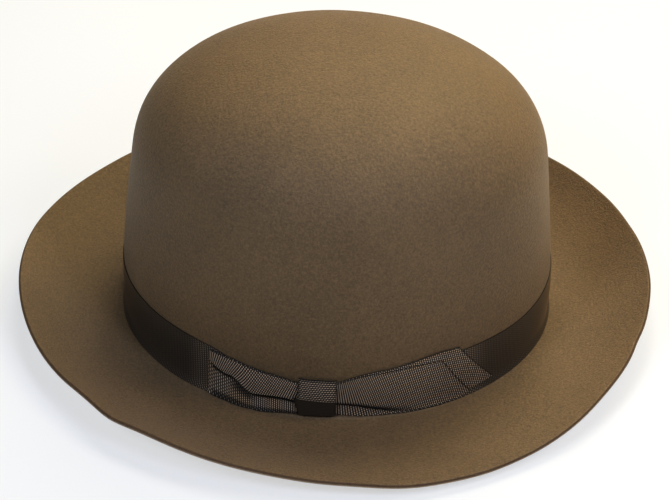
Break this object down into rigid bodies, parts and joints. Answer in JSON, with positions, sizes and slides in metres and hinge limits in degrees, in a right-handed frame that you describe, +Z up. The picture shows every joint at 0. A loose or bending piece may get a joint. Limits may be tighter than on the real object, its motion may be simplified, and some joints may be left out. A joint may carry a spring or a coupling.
{
  "type": "open-crown fedora hat",
  "caption": "Brown felt fedora with a round, uncreased crown, a raw-edged brim turned up all round, and a dark ribbon band with a flat side bow.",
  "frame": {"origin": "middle of the hat's bounding box, on the surface that it rests on", "axes": "+Z up through the crown, +Y towards the back of the hat, +X towards the wearer's left, where the bow is"},
  "size_m": [0.2814, 0.3048, 0.1405],
  "materials": {
    "felt": "soft brushed felt, matt",
    "ribbon": "ribbed grosgrain ribbon, slight sheen"
  },
  "bodies": {
    "root": {"felt_body": "felt", "ribbon_band": "ribbon", "bow_loop": "ribbon", "bow_tail_lower": "ribbon", "bow_tail_upper": "ribbon", "bow_tie": "ribbon"}
  },
  "joints": []
}
